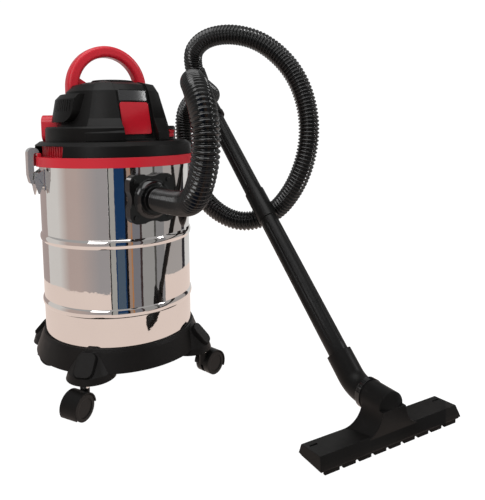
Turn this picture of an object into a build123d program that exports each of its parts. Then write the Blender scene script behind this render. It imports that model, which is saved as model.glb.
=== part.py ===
"""Shop vacuum: polished steel drum on four twin-wheel casters, clamped head, ribbed hose, wand and floor nozzle.

Millimetres, +Z up, origin on the floor under the drum's axis, front towards -Y.
"""
import os
from math import atan2, cos, degrees, pi, radians, sin, sqrt, tan

from build123d import *

# Clearances
press_gap = 0.05
slide_gap = 0.3
seat_gap = 0.2

# Casters
caster_x = 119.0
caster_y = 119.0
caster_trail = 18.0
caster_turns = {"front_left": 208.0, "front_right": 13.0, "rear_left": 325.0, "rear_right": 62.0}
wheel_radius = 22.0
wheel_width = 12.5
wheel_gap = 1.0
web_half = 2.5
axle_radius = 3.0
hub_radius = 16.0
hub_recess = 1.2
hood_wall = 2.5
hood_half_width = 17.0
hood_rear = -28.0
hood_front = 176.0
stem_radius = 5.0
stem_depth = 14.0
stem_show = 7.5
stem_collar_radius = 8.0
stem_collar_drop = 5.0

# Base tray
boss_height = 37.0
boss_top_radius = 20.0
boss_foot_radius = 43.5
boss_lip = 11.0
boss_taper = 3.5
boss_reach = 183.0
pad_width = 33.0
pad_length = 42.0
pad_corner = 11.0
pad_height = 3.5
pad_root = 7.0
tray_lip = 11.0
tray_wall = 3.0
tray_deck = 3.5
tray_flare = 15.0
tray_fit = 0.6
skirt_lift = 10.0
bolt_radius = 2.5
bolt_head = 5.0
bolt_head_height = 3.0
bolt_circle = 95.0

# Drum
drum_radius = 140.0
drum_height = 336.0
drum_wall = 1.0
drum_corner = 6.0
rim_overhang = 2.2
rim_height = 4.0
bead_heights = (71.5, 192.5)
bead_bulge = 3.0
bead_half_height = 8.0

# Lid ring and seal
seal_height = 2.1
seal_width = 7.0
ring_plate = 2.8
ring_wall = 7.0
ring_fit = 2.7
ring_drop = 11.8
lid_opening = 46.0
collar_inset = 21.9
collar_wall = 4.0
collar_height = 18.0
collar_rib = 2.0
collar_rib_width = 3.0
collar_rib_step = 3.0
keeper_slot = 17.0
keeper_depth = 8.0
keeper_height = 6.5
keeper_width = 6.0
keeper_inset = 2.0

# Head cover, levels above the lid ring
cover_wall = 3.0
skirt_step = 3.4
skirt_brow_inset = 6.4
skirt_brow_rise = 18.9
skirt_shoulder_inset = 15.9
skirt_shoulder_rise = 25.4
skirt_neck_rise = 26.9
tier_radius = 121.0
tier_shift = 5.0
tier_bevel = 3.0
tier_rise = 51.9
cone_foot_radius = 104.0
cone_top_radius = 86.0
cone_rise = 114.9
crown_edge_radius = 74.0
crown_edge_rise = 126.9
crown_radius = 55.0
crown_rise = 131.9
notch_centre = 86.0
notch_half = 27.0
channel_width = 64.0
channel_foot_rise = 29.9
channel_height = 86.0
channel_depth = 17.2
channel_lean = 14.5
rail_width = 27.0
rail_bearing = -46.0
rail_height = 4.5
rail_crown_height = 1.5
rail_foot_radius = 125.0
rail_knee = 14.0
pod_foot_radius = 114.0
pod_top_radius = 106.0
pod_height = 58.0
pod_bevel = 9.0
pod_lift = 8.0
pod_corner = 20.0
pod_start = -110.0
pod_end = -64.0
louvre_count = 9
louvre_bearing = -80.0
louvre_step = 3.3
louvre_width = 1.6
louvre_height = 20.0
louvre_margin = 2.0
post_radius = 5.0
post_circle = 108.0
post_bearings = (55.0, 115.0, 205.0, 292.0)
screw_radius = 2.0
screw_head = 4.2
screw_head_height = 2.6

# Badge plate and top cap
badge_width = 55.0
badge_height = 58.0
badge_thickness = 2.5
badge_corner = 5.0
badge_rise = 65.4
top_cap_radius = 40.0
top_cap_height = 5.0
top_cap_bevel = 2.0

# Switch
switch_bearing = 37.0
switch_rise = 38.4
switch_width = 25.0
switch_height = 19.0
switch_depth = 13.0
switch_proud = 1.5
switch_wall = 2.2
rocker_gap = 1.0
rocker_root = 5.0
rocker_proud = 3.6
rocker_dish = 1.0
rocker_pin = 1.0
rocker_tilt = 8.0

# Carry handle
handle_y = 28.0
handle_spread = 69.5
handle_rise = 124.9
handle_width = 21.5
handle_depth = 26.0
handle_corner = 7.0
handle_leg = 17.0
gusset_length = 20.0
gusset_rise = 12.0
gusset_half_width = 5.0

# Blower port and cord gland
port_bearing = -125.0
port_bore = 17.6
port_reach = 131.0
port_depth = 40.0
port_bore_depth = 34.0
port_width = 52.0
port_height = 50.0
port_rise = 48.9
port_corner = 14.0
gland_radius = 7.5
gland_bore = 4.0
gland_flange = 11.0
gland_flange_height = 4.0
gland_root = 6.0
gland_proud = 12.0
gland_rise = 37.0

# Motor, fan, float and filter
mount_radius = 98.0
mount_height = 4.0
fan_radius = 72.0
fan_height = 32.0
fan_wall = 2.0
fan_eye = 30.0
fan_window = 44.0
fan_window_margin = 4.0
impeller_radius = 64.0
impeller_height = 14.0
impeller_lift = 4.0
impeller_blades = 9
impeller_hub = 10.0
blade_thickness = 1.6
shaft_radius = 4.0
shaft_proud = 3.0
motor_radius = 48.0
motor_height = 72.0
motor_wall = 2.0
stator_inner = 30.0
armature_radius = 28.0
armature_height = 40.0
commutator_radius = 13.0
commutator_height = 10.0
filter_radius = 80.0
filter_wall = 14.0
filter_height = 120.0
filter_cap = 5.0
cage_radius = 42.0
cage_wall = 2.5
cage_height = 52.0
cage_flange = 6.0
cage_seat_bore = 22.0
cage_window = 14.0
cage_window_margin = 7.0
cage_windows = 8
float_radius = 30.0
float_height = 24.0
float_bevel = 4.0

# Inlet
inlet_drop = 66.0
inlet_width = 84.0
inlet_corner = 15.0
inlet_scallop_radius = 30.0
inlet_scallop = 3.5
inlet_stand_off = 13.0
inlet_bore = 21.0
inlet_collar = 25.5
inlet_collar_length = 10.0
tail_wall = 3.0
tail_length = 32.0
gasket_thickness = 1.4
inlet_screw_pitch = 62.0
inlet_screw_length = 20.0

# Hose along a route chosen by hand, as steps from its start at the inlet
hose_crest = 20.0
hose_root = 17.8
hose_bore = 16.2
hose_ribs = 196
bend_share = 0.45
hose_route = [
    (0, 0, 0), (0, -78, 0), (-20, -154, 18), (-27, -194, 82), (-25, -186, 138), (-12, -146, 176),
    (18, -86, 191), (62, -28, 189), (126, 34, 180), (182, 110, 182), (198, 188, 184), (200, 247, 153),
    (199, 247, 80), (198, 208, 10), (198, 150, -48), (234, 88, -82), (284, 38, -62), (295, -18, 0),
    (300, -48, 74), (306, -42, 150), (298, -10, 226), (268, 46, 286), (228, 104, 308), (199, 166, 302),
    (201, 220, 268), (230, 231, 219),
]
cuff_bore = 16.5
cuff_radius = 24.0
cuff_plug = 17.0
cuff_length = 9.0
wand_cuff_radius = 23.6
wand_cuff_length = 24.0

# Hand grip and wand
elbow_mouth = Vector(238, -359, 100)
tube_radius = 17.5
tube_bore = 15.5
tube_insert = 32.0
tube_joint = 342.0
socket_wall = 2.1
socket_length = 64.0
flute_radius = 4.0
flute_depth = 1.0
flute_count = 6
flute_margin = 14.0
grip_reach = 34.0
grip_radius = 21.0
grip_bore = 16.2
grip_bend = 40.0
grip_straight = 46.0
grip_lip = 1.6
grip_lip_length = 8.0

# Floor nozzle, lengths from its own origin with +Y towards the wand
elbow_radius = 21.8
elbow_bore = 15.8
elbow_arm = 57.0
elbow_bend = 44.0
spigot_length = 44.0
nozzle_reach = 53.5
nozzle_yaw = -6.7
barrel_radius = 24.0
barrel_front = -22.5
barrel_back = 20.0
barrel_bore = 18.6
barrel_cap = 4.0
barrel_dome = 7.0
swivel_collar_radius = 25.2
swivel_collar_length = 9.0
nozzle_half_length = 143.0
nozzle_front = -35.0
nozzle_back = 16.0
nozzle_draft = 2.0
nozzle_ridge = -28.0
nozzle_ridge_z = 26.5
nozzle_back_z = 22.0
nozzle_front_z = 15.0
nozzle_foot_z = 9.0
nozzle_end_slope = 4.0
nozzle_roof = 5.0
neck_front = -29.5
clip_inset = 9.0
clip_length = 14.0
clip_width = 4.0
clip_depth = 1.2
throat_half_width = 13.0
mouth_front = -22.0
mouth_back = -4.0
mouth_end_wall = 25.0
sole_thickness = 3.0
sole_margin = 2.0
strip_margin = 9.0
strip_thickness = 4.0
strip_front = -31.0
strip_rear = 2.0
strip_teeth = 9
strip_notch = 7.0
strip_notch_height = 4.5
sole_screw_inset = 15.0
sole_screw_y = -13.0
sole_screw_length = 11.0
sole_screw_head_height = 1.6

# Latches, drawn on the right: offsets out from the drum's wall and levels from its rim
latch_pivot_out = 9.0
latch_pivot_drop = 28.0
latch_pin = 2.0
latch_half_width = 15.0
latch_sheet = 1.6
ear_radius = 5.0
ear_root = 0.5
bracket_below = 26.0
bracket_above = 11.0
lever_half_width = 11.6
lever_out = 12.8
lever_tail = 34.0
lever_taper = 12.0
lever_tip_half = 2.0
flange_reach = 4.0
flange_head = 5.0
flange_tail = 16.0
hook_pivot_out = 18.5
hook_pivot_below = 10.0
hook_pin = 1.5
hook_eye = 3.2
hook_half_width = 7.0
hook_sheet = 2.0
hook_strap_out = 21.6
hook_top_rise = 12.9
hook_tip_rise = 2.9
hook_tip_out = 5.0
rivet_head = 3.6
rivet_height = 1.2
rivet_y = 8.0
rivet_up = 7.0

# Levels and radii that follow from the sizes above
boss_foot_z = 2 * wheel_radius + wheel_gap + hood_wall + stem_show
drum_floor_z = boss_foot_z + boss_height
drum_inside_z = drum_floor_z + drum_wall
drum_rim_z = drum_floor_z + drum_height
tray_top_z = drum_floor_z + tray_lip
plate_under_z = drum_rim_z + seat_gap + seal_height
ring_top_z = plate_under_z + ring_plate
inner_radius = drum_radius - drum_wall
rim_radius = drum_radius + rim_overhang
ring_inner = rim_radius + ring_fit
ring_radius = ring_inner + ring_wall
collar_radius = ring_radius - collar_inset
skirt_brow_radius = ring_radius - skirt_brow_inset
skirt_shoulder_radius = ring_radius - skirt_shoulder_inset
inlet_z = drum_rim_z - inlet_drop
skirt_neck_z = ring_top_z + skirt_neck_rise
tier_top_z = ring_top_z + tier_rise
cone_top_z = ring_top_z + cone_rise
crown_edge_z = ring_top_z + crown_edge_rise
crown_z = ring_top_z + crown_rise

BASE = (Align.CENTER, Align.CENTER, Align.MIN)
UP = Vector(0, 0, 1)
FORWARD = Vector(0, -1, 0)
ACROSS = Vector(0, 1, 0)
OUT = Vector(1, 0, 0)
parts = {}


def disc(radius, low, high):
    """Upright cylinder between two levels."""
    return Pos(0, 0, low) * Cylinder(radius, high - low, align=BASE)


def ring(outer, inner, low, high):
    """Upright tube between two levels."""
    return disc(outer, low, high) - disc(inner, low, high)


def turned(points):
    """Solid of revolution about Z from (radius, level) points."""
    return revolve(make_face(Polyline(*[(r, 0, z) for r, z in points], close=True)), Axis.Z)


def slab_along_y(points, low, high):
    """Plate between two y values, cut to an outline of (x, z) points."""
    face = make_face(Polyline(*[(x, low, z) for x, z in points], close=True))
    return extrude(face, amount=high - low, dir=(0, 1, 0))


def slab_along_x(points, low, high):
    """Plate between two x values, cut to an outline of (y, z) points."""
    face = make_face(Polyline(*[(low, y, z) for y, z in points], close=True))
    return extrude(face, amount=high - low, dir=(1, 0, 0))


def block(low, high):
    """Box between two opposite corners."""
    size = Vector(*high) - Vector(*low)
    return Pos(*low) * Box(size.X, size.Y, size.Z, align=(Align.MIN, Align.MIN, Align.MIN))


def rod(start, direction, radius, length):
    """Cylinder from a point along a direction."""
    return Plane(origin=start, z_dir=direction) * Cylinder(radius, length, align=BASE)


def facing(bearing, radius, z, centre_x=0.0):
    """Upright plane at a bearing from the front, facing outwards from the drum's axis."""
    angle = radians(bearing)
    out = Vector(sin(angle), -cos(angle), 0)
    origin = Vector(centre_x, 0, z) + out * radius
    return Plane(origin=origin, x_dir=(cos(angle), sin(angle), 0), z_dir=out)


def screw(start, direction, shank, head, head_height, length):
    """Screw whose head stands on the face at start, with its shank behind that face."""
    return rod(start, direction, head, head_height) + rod(start, direction * -1, shank, length)


def pair(part):
    """A right-hand piece and its mirror image on the left."""
    return part + mirror(part, about=Plane.YZ)


def both_sides(name, part):
    """Keep a right-hand latch piece and its mirror image as two nodes."""
    parts["right_" + name] = part
    parts["left_" + name] = mirror(part, about=Plane.YZ)


# Drum: a deep-drawn shell with two swaged beads and a rolled rim
def drum_side(radius, low):
    """Wall line from a level up to the rim, swelling at each bead."""
    edges = []
    level = low
    for height in bead_heights:
        middle = drum_floor_z + height
        start = (radius, 0, middle - bead_half_height)
        end = (radius, 0, middle + bead_half_height)
        edges.append(Line((radius, 0, level), start))
        edges.append(ThreePointArc(start, (radius + bead_bulge, 0, middle), end))
        level = middle + bead_half_height
    edges.append(Line((radius, 0, level), (radius, 0, drum_rim_z)))
    return edges


heel = drum_radius - drum_corner
heel_z = drum_floor_z + drum_corner
drum_outline = drum_side(drum_radius, heel_z) + drum_side(inner_radius, heel_z) + [
    Line((0, 0, drum_floor_z), (heel, 0, drum_floor_z)),
    Line((heel, 0, drum_floor_z), (drum_radius, 0, heel_z)),
    Line((drum_radius, 0, drum_rim_z), (inner_radius, 0, drum_rim_z)),
    Line((inner_radius, 0, heel_z), (heel, 0, drum_inside_z)),
    Line((heel, 0, drum_inside_z), (0, 0, drum_inside_z)),
    Line((0, 0, drum_inside_z), (0, 0, drum_floor_z)),
]
drum = revolve(make_face(drum_outline), Axis.Z)
drum += ring(rim_radius, inner_radius, drum_rim_z - rim_height, drum_rim_z)
inlet_axis = Vector(0, 0, inlet_z)
tail_radius = inlet_bore + tail_wall
drum_front = drum_radius + 2 * bead_bulge
drum -= rod(inlet_axis, FORWARD, tail_radius + seat_gap, drum_front)
half_pitch = inlet_screw_pitch / 2
inlet_screw_places = [Vector(x, 0, inlet_z + z) for x in (-half_pitch, half_pitch) for z in (-half_pitch, half_pitch)]
for place in inlet_screw_places:
    drum -= rod(place, FORWARD, screw_radius + press_gap, drum_front)
bolt_places = [facing(bearing, bolt_circle, 0).origin for bearing in (0, 90, 180, 270)]
for place in bolt_places:
    drum -= Pos(place) * disc(bolt_radius + press_gap, drum_floor_z - drum_wall, drum_inside_z + drum_wall)
parts["drum"] = drum

# Base tray: deck, flared skirt and four caster bosses with tombstone pads
deck_under_z = drum_floor_z - tray_deck
skirt_foot_z = boss_foot_z + skirt_lift
tray_bore = drum_radius + tray_fit
tray_rim = tray_bore + tray_wall
skirt_foot = tray_rim + tray_flare
tray = turned([
    (0, deck_under_z), (tray_bore - tray_wall, deck_under_z), (skirt_foot - tray_wall, skirt_foot_z),
    (skirt_foot, skirt_foot_z), (tray_rim + tray_wall, tray_top_z - 2 * tray_wall), (tray_rim, tray_top_z),
    (tray_bore, tray_top_z), (tray_bore, drum_floor_z), (0, drum_floor_z),
])
caster_circle = sqrt(caster_x ** 2 + caster_y ** 2)
caster_bearing = degrees(atan2(caster_x, caster_y))
corner_bearings = {
    "front_left": -caster_bearing, "front_right": caster_bearing,
    "rear_left": caster_bearing - 180, "rear_right": 180 - caster_bearing,
}
boss_waist_z = boss_foot_z + boss_lip
boss_top_z = tray_top_z - tray_wall
boss_top_reach = tray_rim + 2 * tray_wall
boss_centre = boss_reach - boss_foot_radius
boss = loft([
    Pos(boss_centre, 0, boss_foot_z) * Circle(boss_foot_radius),
    Pos(boss_centre, 0, boss_waist_z) * Circle(boss_foot_radius - boss_taper),
    Pos(boss_top_reach - boss_top_radius, 0, boss_top_z) * Circle(boss_top_radius),
], ruled=True)
slope_foot = Vector(boss_reach - boss_taper, 0, boss_waist_z)
slope_head = Vector(boss_top_reach, 0, boss_top_z)
up_slope = (slope_head - slope_foot).normalized()
pad_plane = Plane(origin=(slope_foot + slope_head) * 0.5, x_dir=up_slope, z_dir=up_slope.cross(FORWARD))
pad_outline = RectangleRounded(pad_length, pad_width, pad_corner)
boss += pad_plane * Pos(0, 0, -pad_root) * extrude(pad_outline, amount=pad_root + pad_height)
for bearing in corner_bearings.values():
    tray += Rot(0, 0, bearing - 90) * boss
tray -= disc(tray_bore, boss_foot_z - boss_lip, deck_under_z)
tray -= disc(tray_bore, drum_floor_z, tray_top_z + boss_lip)
stem_places = {name: facing(bearing, caster_circle, 0).origin for name, bearing in corner_bearings.items()}
for place in stem_places.values():
    tray -= Pos(place) * disc(stem_radius + press_gap, boss_foot_z - boss_lip, boss_foot_z + stem_depth + seat_gap)
for place in bolt_places:
    tray -= Pos(place) * disc(bolt_radius + press_gap, deck_under_z - tray_deck, drum_floor_z + tray_deck)
parts["base_tray"] = tray

bolt_length = drum_wall + tray_deck + bolt_head_height
parts["base_bolts"] = Compound(children=[
    screw(place + UP * drum_inside_z, UP, bolt_radius, bolt_head, bolt_head_height, bolt_length)
    for place in bolt_places])

# Casters: a hooded fork that swivels on its stem, and a pair of wheels on one axle
hood_inner = wheel_radius + wheel_gap
hood_outer = hood_inner + hood_wall
stem_foot_z = boss_foot_z - stem_collar_drop
axle_point = Vector(caster_trail, 0, wheel_radius)
wheel_inside = web_half + wheel_gap
wheel_outside = wheel_inside + wheel_width


def sideways(radius, low, high):
    """Cylinder along the axle between two widths."""
    return rod(axle_point + ACROSS * low, ACROSS, radius, high - low)


def hood_opening():
    """Space below the hood's two ends."""
    far = 3 * hood_outer
    ends = [radians(angle) for angle in (hood_rear, -90, hood_front)]
    outline = [(axle_point.X + far * cos(angle), axle_point.Z + far * sin(angle)) for angle in ends]
    return slab_along_y([(axle_point.X, axle_point.Z)] + outline, -far, far)


def caster_fork():
    """Hood over both wheels, web between them, collar and stem."""
    shell = sideways(hood_outer, -hood_half_width, hood_half_width)
    shell += disc(stem_collar_radius, wheel_radius, stem_foot_z)
    shell -= hood_opening()
    shell += sideways(2 * axle_radius, -web_half, web_half)
    shell += disc(stem_radius, stem_foot_z - stem_collar_drop, boss_foot_z + stem_depth)
    shell -= sideways(hood_inner, -hood_half_width, -web_half)
    shell -= sideways(hood_inner, web_half, hood_half_width)
    return shell - sideways(axle_radius + press_gap, -hood_half_width, hood_half_width)


def caster_wheels():
    """Two wheels on a through axle, each with a shallow recess in its outer face."""
    recess = wheel_outside - hub_recess
    wheels = sideways(wheel_radius, wheel_inside, wheel_outside)
    wheels += sideways(wheel_radius, -wheel_outside, -wheel_inside)
    wheels -= sideways(hub_radius, recess, wheel_outside)
    wheels -= sideways(hub_radius, -wheel_outside, -recess)
    return wheels + sideways(axle_radius, -recess, recess)


fork = caster_fork()
wheels = caster_wheels()
for name, turn in caster_turns.items():
    stand = Pos(stem_places[name]) * Rot(0, 0, turn)
    parts["caster_" + name + "_fork"] = stand * fork
    parts["caster_" + name + "_wheels"] = stand * wheels

# Lid ring: clamping skirt, bulkhead plate, ribbed collar and latch keepers
lid = ring(ring_radius, ring_inner, drum_rim_z - ring_drop, plate_under_z)
lid += ring(ring_radius, lid_opening, plate_under_z, ring_top_z)
lid += ring(collar_radius, collar_radius - collar_wall, ring_top_z, ring_top_z + collar_height)
rib_reach = notch_half + 2 * collar_rib_step
rib_count = int(2 * rib_reach / collar_rib_step) + 1
for side in (-1, 1):
    for index in range(rib_count):
        bearing = side * (notch_centre - rib_reach + index * collar_rib_step)
        lid += facing(bearing, collar_radius - collar_wall / 2, ring_top_z) * Box(
            collar_rib_width, collar_height, collar_rib + collar_wall / 2,
            align=(Align.CENTER, Align.MIN, Align.MIN))
keeper_outer = ring_radius - keeper_inset
keeper_inner = ring_radius - keeper_depth
half_slot = keeper_slot / 2
keeper_low = (keeper_inner, half_slot, plate_under_z)
keeper_high = (keeper_outer, half_slot + keeper_width, ring_top_z + keeper_height)
keeper = block(keeper_low, keeper_high)
lid += pair(keeper + mirror(keeper, about=Plane.XZ))
lid -= pair(block((keeper_inner, -half_slot, drum_rim_z - 2 * ring_drop),
                  (ring_radius + ring_wall, half_slot, ring_top_z + 2 * keeper_height)))
head_screw_places = [facing(bearing, post_circle, 0).origin for bearing in post_bearings]
for place in head_screw_places:
    lid -= Pos(place) * disc(screw_radius + press_gap, plate_under_z - ring_plate, ring_top_z + ring_plate)
parts["lid_ring"] = lid
parts["lid_seal"] = ring(rim_radius, rim_radius - seal_width, drum_rim_z + seat_gap, plate_under_z)

# Carry handle: one rounded bar bent over the head, with a gusset inside each foot
handle_centre_z = ring_top_z + handle_rise
handle_foot_z = handle_centre_z - handle_leg
left_foot = (-handle_spread, handle_y, handle_foot_z)
left_turn = (-handle_spread, handle_y, handle_centre_z)
right_turn = (handle_spread, handle_y, handle_centre_z)
right_foot = (handle_spread, handle_y, handle_foot_z)
handle_path = Wire([
    Line(left_foot, left_turn),
    ThreePointArc(left_turn, (0, handle_y, handle_centre_z + handle_spread), right_turn),
    Line(right_turn, right_foot),
])
handle_section = Plane(origin=left_foot, z_dir=UP) * RectangleRounded(handle_width, handle_depth, handle_corner)
handle = sweep(handle_section, handle_path)
handle_inner = handle_spread - handle_width / 2
gusset_root = handle_inner + handle_corner
gusset_toe = handle_inner - gusset_length
handle += pair(slab_along_y([
    (gusset_root, crown_edge_z - cover_wall), (gusset_toe, crown_z - cover_wall), (gusset_toe, crown_z),
    (handle_inner, crown_z + gusset_rise), (gusset_root, crown_z + gusset_rise),
], handle_y - gusset_half_width, handle_y + gusset_half_width))
parts["carry_handle"] = handle

# Blower port: a housing on the left rear of the head with a hose-sized outlet
port_z = ring_top_z + port_rise
port_housing = facing(port_bearing, port_reach - port_depth, port_z) * extrude(
    RectangleRounded(port_width, port_height, port_corner), amount=port_depth)
parts["blower_port"] = port_housing - facing(port_bearing, port_reach - port_bore_depth, port_z) * Cylinder(
    port_bore, port_bore_depth, align=BASE)

# Switch: a frame let into the lower tier and a rocker on its own pins
switch_plane = facing(switch_bearing, tier_radius, ring_top_z + switch_rise, -tier_shift)
switch_block = switch_plane * Pos(0, 0, switch_proud - switch_depth) * Box(
    switch_width, switch_height, switch_depth, align=BASE)
well_width = switch_width - 2 * switch_wall
well_height = switch_height - 2 * switch_wall
well_depth = switch_depth - switch_wall
switch_body = switch_block - switch_plane * Pos(0, 0, switch_proud - well_depth) * Box(
    well_width, well_height, well_depth, align=BASE)
pin_length = switch_width - switch_wall
parts["switch_body"] = switch_body - switch_plane * Rot(0, 90, 0) * Cylinder(rocker_pin + press_gap, pin_length)
rocker_half = well_height / 2 - rocker_gap
rocker_width = well_width - 2 * slide_gap
rocker_crest = rocker_proud + rocker_dish
rocker_outline = make_face(Polyline(
    (0, -rocker_half, -rocker_root / 3), (0, 0, -rocker_root), (0, rocker_half, -rocker_root / 3),
    (0, rocker_half, rocker_crest), (0, 0, rocker_proud), (0, -rocker_half, rocker_crest), close=True))
rocker = extrude(rocker_outline, amount=rocker_width / 2, dir=(1, 0, 0), both=True)
rocker += Rot(0, 90, 0) * Cylinder(rocker_pin, pin_length - 2 * slide_gap)
parts["switch_rocker"] = switch_plane * Rot(rocker_tilt, 0, 0) * rocker

# Cord gland at the rear of the lower tier
gland_plane = facing(180, tier_radius, ring_top_z + gland_rise, -tier_shift)
gland_length = gland_root + gland_proud
gland_shell = gland_plane * Pos(0, 0, -gland_root) * Cylinder(gland_radius, gland_length, align=BASE)
gland_hole = gland_plane * Pos(0, 0, -gland_root) * Cylinder(gland_bore, gland_length, align=BASE)
gland_ring = gland_plane * Cylinder(gland_flange, gland_flange_height, align=BASE)
parts["cord_gland"] = gland_shell + gland_ring - gland_hole


# Head cover: skirt, lower tier, cone and crown, with a badge channel between two rails and a vent pod
def cover_form(inset):
    """Outer form of the cover, or its hollow when inset by the wall."""
    low = ring_top_z - inset
    skirt = ring_radius - skirt_step - inset
    neck_z = skirt_neck_z - inset
    brow_z = ring_top_z + skirt_brow_rise - inset / 2
    form = turned([
        (0, low), (skirt, low), (skirt_brow_radius - inset, brow_z),
        (skirt_shoulder_radius - inset / 2, ring_top_z + skirt_shoulder_rise - inset),
        (tier_radius - 2 * tier_shift - inset, neck_z), (0, neck_z),
    ])
    tier = tier_radius - inset
    tier_high = tier_top_z - inset
    form += Pos(-tier_shift, 0, 0) * turned([
        (0, brow_z), (tier, brow_z), (tier, tier_high - tier_bevel), (tier - tier_bevel, tier_high), (0, tier_high),
    ])
    form += turned([
        (0, brow_z), (cone_foot_radius - inset, brow_z), (cone_foot_radius - inset, tier_high),
        (cone_top_radius - inset, cone_top_z - inset / 2), (crown_edge_radius - inset / 2, crown_edge_z - inset),
        (crown_radius, crown_z - inset), (0, crown_z - inset),
    ])
    return form


lean = tan(radians(channel_lean))
channel_foot_z = ring_top_z + channel_foot_rise
channel_foot_y = channel_depth - tier_radius


def channel_space(inset):
    """Space in front of the badge channel's leaning floor."""
    far = -2 * drum_radius
    low = channel_foot_z - inset
    high = channel_foot_z + channel_height + inset
    floor_low = channel_foot_y + inset - inset * lean
    floor_high = floor_low + (high - low) * lean
    half = channel_width / 2 + inset
    return slab_along_x([(far, low), (floor_low, low), (floor_high, high), (far, high)], -half, half)


def sector(start, end, low, high):
    """Wedge of space between two bearings."""
    corners = [facing(bearing, 2 * drum_radius, low).origin for bearing in (start, (start + end) / 2, end)]
    return extrude(make_face(Polyline(Vector(0, 0, low), *corners, close=True)), amount=high - low, dir=(0, 0, 1))


cover = cover_form(0)
pod_foot_z = tier_top_z + pod_lift
pod_top_z = tier_top_z + pod_height
pod_shoulder_z = pod_top_z - pod_bevel
pod = turned([
    (crown_edge_radius, pod_foot_z), (pod_foot_radius, pod_foot_z), (pod_top_radius, pod_shoulder_z),
    (pod_top_radius - pod_bevel, pod_top_z), (crown_edge_radius, pod_top_z),
])
pod_middle = (pod_start + pod_end) / 2
pod_width = 2 * pod_foot_radius * sin(radians(pod_end - pod_middle))
pod_front = RectangleRounded(pod_width, 2 * pod_height, pod_corner)
cover += pod & facing(pod_middle, 0, pod_foot_z + pod_height) * extrude(pod_front, amount=drum_radius)
rail_inner = channel_width / 2
rail_crown_z = crown_z + rail_crown_height
rail = turned([
    (0, skirt_neck_z), (rail_foot_radius, skirt_neck_z), (rail_foot_radius, skirt_neck_z + rail_knee),
    (cone_foot_radius + rail_height, tier_top_z + rail_knee), (cone_top_radius + rail_height, cone_top_z),
    (crown_edge_radius + rail_height, crown_edge_z + rail_crown_height), (crown_radius, rail_crown_z),
    (0, rail_crown_z),
])
rail_outer = rail_inner + rail_width
cover += rail & block((rail_inner, -rail_foot_radius, skirt_neck_z), (rail_outer, -rail_inner, rail_crown_z))
left_rail = rail & sector(rail_bearing, 0, skirt_neck_z, rail_crown_z)
cover += left_rail & block((-rail_foot_radius, -rail_foot_radius, skirt_neck_z), (-rail_inner, 0, rail_crown_z))
cover -= channel_space(0)
cover -= cover_form(cover_wall) - channel_space(cover_wall)
for place in head_screw_places:
    cover += Pos(place) * disc(post_radius, ring_top_z, tier_top_z - cover_wall)
    cover -= Pos(place) * disc(screw_radius + press_gap, ring_top_z, skirt_neck_z)
notch_top_z = ring_top_z + skirt_brow_rise
collar_space = disc(collar_radius + 2 * collar_rib, ring_top_z, notch_top_z)
for side in (-1, 1):
    notch = sector(side * (notch_centre - notch_half), side * (notch_centre + notch_half), ring_top_z, notch_top_z)
    cover -= notch - collar_space
louvre_z = pod_shoulder_z - louvre_margin - louvre_height / 2
for index in range(louvre_count):
    bearing = louvre_bearing + (index - (louvre_count - 1) / 2) * louvre_step
    cover -= facing(bearing, pod_top_radius, louvre_z) * Box(louvre_width, louvre_height, pod_top_radius / 2)
cover -= handle
cover -= port_housing
cover -= switch_block
cover -= gland_shell
cover -= gland_hole
cover -= gland_ring
parts["head_cover"] = cover

head_screw_length = skirt_neck_z - plate_under_z - ring_plate
parts["head_screws"] = Compound(children=[
    screw(place + UP * plate_under_z, UP * -1, screw_radius, screw_head, screw_head_height, head_screw_length)
    for place in head_screw_places])

badge_z = ring_top_z + badge_rise
badge_y = channel_foot_y + (badge_z - channel_foot_z) * lean
badge_normal = (0, -cos(radians(channel_lean)), sin(radians(channel_lean)))
parts["badge_plate"] = Plane(origin=(0, badge_y, badge_z), x_dir=(1, 0, 0), z_dir=badge_normal) * extrude(
    RectangleRounded(badge_width, badge_height, badge_corner), amount=badge_thickness)
top_cap_z = crown_z + top_cap_height
parts["top_cap"] = turned([
    (0, crown_z), (top_cap_radius, crown_z), (top_cap_radius, top_cap_z - top_cap_bevel),
    (top_cap_radius - top_cap_bevel, top_cap_z), (0, top_cap_z),
])

# Motor stack on the lid's bulkhead
mount_top_z = ring_top_z + mount_height
parts["motor_mount"] = ring(mount_radius, lid_opening, ring_top_z, mount_top_z)
fan_top_z = mount_top_z + fan_height
fan = ring(fan_radius, fan_radius - fan_wall, mount_top_z, fan_top_z)
fan += ring(fan_radius, lid_opening, mount_top_z, mount_top_z + fan_wall)
fan += ring(fan_radius, shaft_radius + press_gap, fan_top_z - fan_wall, fan_top_z)
for bearing in (45, 135, 225, 315):
    fan -= facing(bearing, fan_radius, mount_top_z + fan_height / 2) * Box(
        fan_window, fan_height - 2 * fan_window_margin, fan_radius / 2)
parts["fan_housing"] = fan
can_top_z = fan_top_z + motor_height
can = ring(motor_radius, motor_radius - motor_wall, fan_top_z, can_top_z)
parts["motor_can"] = can + ring(motor_radius, shaft_radius + press_gap, can_top_z - motor_wall, can_top_z)
armature_low_z = fan_top_z + (motor_height - armature_height) / 2
armature_high_z = armature_low_z + armature_height
parts["motor_stator"] = ring(motor_radius - motor_wall, stator_inner, armature_low_z, armature_high_z)
impeller_low_z = mount_top_z + fan_wall + impeller_lift
impeller_top_z = impeller_low_z + impeller_height
armature = disc(armature_radius, armature_low_z, armature_high_z)
armature += disc(commutator_radius, armature_high_z, armature_high_z + commutator_height)
parts["motor_armature"] = armature + disc(shaft_radius, impeller_low_z, can_top_z + shaft_proud)
impeller = disc(impeller_hub, impeller_low_z, impeller_top_z)
impeller += disc(impeller_radius, impeller_top_z - blade_thickness, impeller_top_z)
impeller += ring(impeller_radius, fan_eye, impeller_low_z, impeller_low_z + blade_thickness)
half_blade = blade_thickness / 2
blade_root = (impeller_hub - half_blade, -half_blade, impeller_low_z)
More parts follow.
